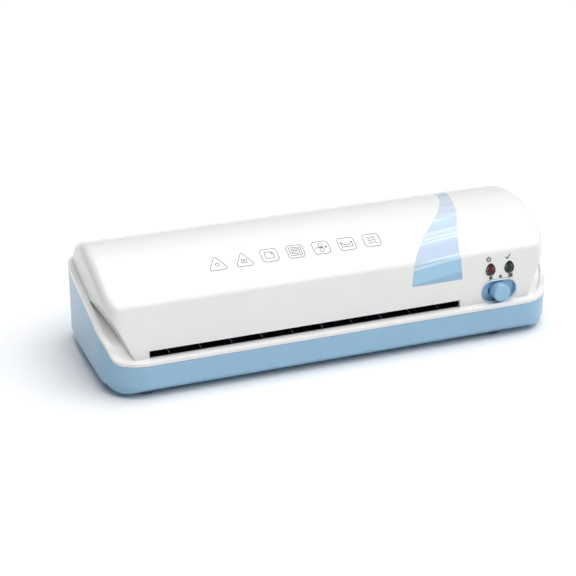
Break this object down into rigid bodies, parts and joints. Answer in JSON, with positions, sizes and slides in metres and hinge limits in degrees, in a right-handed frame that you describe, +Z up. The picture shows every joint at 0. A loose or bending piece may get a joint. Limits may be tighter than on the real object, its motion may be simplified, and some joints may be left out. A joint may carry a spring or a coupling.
{
  "type": "pouch laminator",
  "caption": "Desktop pouch laminator: arched two-shell casing with front feeding slot, slide switch, heater plates and a geared pair of rubber rollers.",
  "frame": {"origin": "on the table, under the middle of the casing", "axes": "+X to the machine's right along the slot, -Y towards the person feeding it, +Z up"},
  "size_m": [0.343, 0.126, 0.086],
  "materials": {
    "cover_white": "moulded ABS, satin",
    "casing_blue": "moulded ABS, fine satin texture",
    "foot_rubber": "dark soft rubber",
    "zinc_screw": "zinc plated",
    "control_blue": "moulded, half gloss",
    "switch_black": "moulded nylon",
    "red_lens": "clear tinted acrylic",
    "green_lens": "clear tinted acrylic",
    "led_red": "epoxy",
    "led_green": "epoxy",
    "circuit_board": "solder mask over glass laminate",
    "guide_black": "heat-proof nylon",
    "frame_steel": "zinc plated sheet and bar",
    "shaft_steel": "ground steel",
    "roller_silicone": "silicone rubber",
    "bush_plastic": "filled heat-proof plastic",
    "gear_plastic": "acetal",
    "motor_tin": "plated can",
    "hot_plate": "anodised extrusion",
    "heater_strip": "film-wrapped heater strip",
    "support_plastic": "phenolic moulding",
    "thermostat_body": "phenolic disc thermostat",
    "fuse_body": "metal can fuse",
    "terminal_plastic": "moulded terminal block",
    "gland_rubber": "black rubber grommet"
  },
  "bodies": {
    "housing": {"top_cover": "cover_white", "base_casing": "casing_blue", "rubber_feet": "foot_rubber", "casing_screws": "zinc_screw", "frame_screws": "zinc_screw", "motor_screws": "zinc_screw", "board_screws": "zinc_screw", "panel_board_screws": "zinc_screw", "switch_tray": "control_blue", "slide_switch_body": "switch_black", "power_relay": "switch_black", "power_lens": "red_lens", "ready_lens": "green_lens", "power_led": "led_red", "ready_led": "led_green", "panel_board": "circuit_board", "control_board": "circuit_board", "entry_guide_lower": "guide_black", "entry_guide_upper": "guide_black", "exit_guide_lower": "guide_black", "exit_guide_upper": "guide_black", "left_side_plate": "frame_steel", "right_side_plate": "frame_steel", "motor_bracket": "frame_steel", "tie_bars": "frame_steel", "left_pressure_spring": "shaft_steel", "right_pressure_spring": "shaft_steel", "lower_bushes": "bush_plastic", "drive_motor": "motor_tin", "lower_heater_plate": "hot_plate", "upper_heater_plate": "hot_plate", "lower_heating_element": "heater_strip", "upper_heating_element": "heater_strip", "heater_supports": "support_plastic", "thermostat": "thermostat_body", "thermal_fuse": "fuse_body", "terminal_block": "terminal_plastic", "cord_gland": "gland_rubber"},
    "lower_roller": {"lower_roller_shaft": "shaft_steel", "lower_roller_sleeve": "roller_silicone", "lower_roller_gear": "gear_plastic", "lower_retaining_clip": "shaft_steel"},
    "upper_carriage": {"upper_bushes": "bush_plastic"},
    "upper_roller": {"upper_roller_shaft": "shaft_steel", "upper_roller_sleeve": "roller_silicone", "upper_roller_gear": "gear_plastic", "upper_retaining_clip": "shaft_steel"},
    "drive": {"motor_shaft": "shaft_steel", "motor_gear": "gear_plastic"},
    "mode_switch": {"mode_knob": "control_blue", "knob_shutter": "control_blue", "switch_slider": "switch_black"}
  },
  "joints": [
    {"name": "mode_slide", "type": "slide", "parent": "housing", "child": "mode_switch", "axis": [1, 0, 0], "range_m": [-0.0045, 0.0045]},
    {"name": "lower_roller_spin", "type": "hinge", "parent": "housing", "child": "lower_roller", "pos_m": [-0.0224, 0.012, 0.018], "axis": [1, 0, 0], "continuous": true},
    {"name": "upper_carriage_lift", "type": "slide", "parent": "housing", "child": "upper_carriage", "axis": [0, 0, 1], "range_m": [0, 0.0008], "stiffness_N_per_m": 2000, "springref_m": -0.002, "deforming": ["left_pressure_spring", "right_pressure_spring"]},
    {"name": "upper_roller_spin", "type": "hinge", "parent": "upper_carriage", "child": "upper_roller", "pos_m": [-0.0224, 0.012, 0.038], "axis": [1, 0, 0], "continuous": true},
    {"name": "motor_spin", "type": "hinge", "parent": "housing", "child": "drive", "pos_m": [0.1155, 0.025, 0.03045], "axis": [1, 0, 0], "continuous": true}
  ],
  "couplings": [
    {"joint": "upper_roller_spin", "follows": "lower_roller_spin", "ratio": -1},
    {"joint": "motor_spin", "follows": "lower_roller_spin", "ratio": -1.25}
  ]
}
